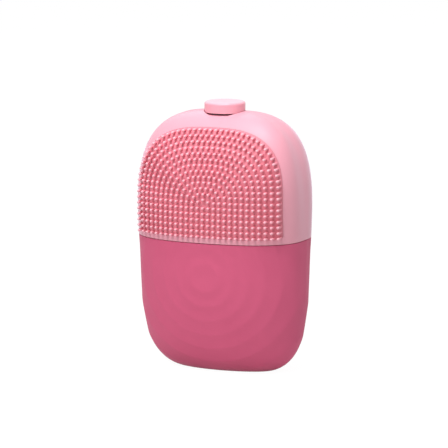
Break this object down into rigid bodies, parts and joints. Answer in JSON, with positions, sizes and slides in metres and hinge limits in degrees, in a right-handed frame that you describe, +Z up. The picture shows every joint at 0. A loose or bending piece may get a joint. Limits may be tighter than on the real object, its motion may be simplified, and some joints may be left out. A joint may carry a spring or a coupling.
{
  "type": "facial cleansing brush",
  "caption": "Palm-sized rechargeable facial cleansing brush: domed shell with an arch-shaped field of soft bristles and a round power key on its crown, over a soft grip with a flat base.",
  "frame": {"origin": "middle of the flat base the brush stands on", "axes": "+Z up from the base to the power key, -Y out of the bristled front, +X to the right of someone facing the bristles"},
  "size_m": [0.0701, 0.0493, 0.1089],
  "materials": {
    "shell_plastic": "satin, pale pink",
    "key_plastic": "satin, pale pink",
    "bristle_silicone": "matt silicone, salmon pink",
    "sleeve_silicone": "matt silicone, deep rose",
    "stem_plastic": "satin acetal",
    "seal_rubber": "matt",
    "cup_plastic": "satin",
    "frame_plastic": "satin",
    "screw_steel": "zinc plated",
    "plunger_plastic": "matt",
    "switch_plastic": "matt",
    "board_laminate": "solder mask",
    "motor_steel": "drawn can",
    "magnet_ferrite": "matt ferrite",
    "cap_plastic": "matt",
    "bush_bronze": "sintered",
    "shaft_steel": "ground",
    "armature_steel": "laminated stack",
    "weight_brass": "machined",
    "boot_rubber": "matt",
    "cell_foil": "laminated foil pouch",
    "foam_pad": "closed-cell foam",
    "clip_steel": "spring steel",
    "chip_plastic": "moulded epoxy",
    "coil_ferrite": "matt ferrite",
    "capacitor_ceramic": "ceramic",
    "header_plastic": "moulded nylon",
    "socket_plastic": "moulded",
    "contact_brass": "gilded",
    "lead_red": "wire insulation",
    "lead_black": "wire insulation",
    "lead_white": "wire insulation"
  },
  "bodies": {
    "body": {"dome_shell": "shell_plastic", "bristle_pad": "bristle_silicone", "grip_sleeve": "sleeve_silicone", "key_seal": "seal_rubber", "grip_cup": "cup_plastic", "seam_gasket": "seal_rubber", "inner_frame": "frame_plastic", "frame_screws": "screw_steel", "cup_screws": "screw_steel", "board_screws": "screw_steel", "strap_screws": "screw_steel", "switch_housing": "switch_plastic", "switch_board": "board_laminate", "motor_can": "motor_steel", "motor_magnets": "magnet_ferrite", "motor_end_cap": "cap_plastic", "motor_bush": "bush_bronze", "motor_boot": "boot_rubber", "motor_strap": "frame_plastic", "battery_cell": "cell_foil", "battery_foam": "foam_pad", "battery_clip": "clip_steel", "main_board": "board_laminate", "control_chip": "chip_plastic", "charger_chip": "chip_plastic", "power_coil": "coil_ferrite", "board_capacitors": "capacitor_ceramic", "lead_sockets": "header_plastic", "charge_socket": "socket_plastic", "socket_contact": "contact_brass", "socket_seal": "seal_rubber", "motor_leads": "lead_red", "battery_leads": "lead_black", "signal_leads": "lead_white"},
    "key": {"power_key": "key_plastic", "key_stem": "stem_plastic", "switch_plunger": "plunger_plastic"},
    "rotor": {"motor_shaft": "shaft_steel", "motor_armature": "armature_steel", "eccentric_weight": "weight_brass"}
  },
  "joints": [
    {"name": "key_press", "type": "slide", "parent": "body", "child": "key", "axis": [0, 0, -1], "range_m": [0, 0.0007], "stiffness_N_per_m": 2500, "springref_m": -0.0002},
    {"name": "motor_spin", "type": "hinge", "parent": "body", "child": "rotor", "pos_m": [0, -0.006, 0.072], "axis": [1, 0, 0], "continuous": true}
  ]
}
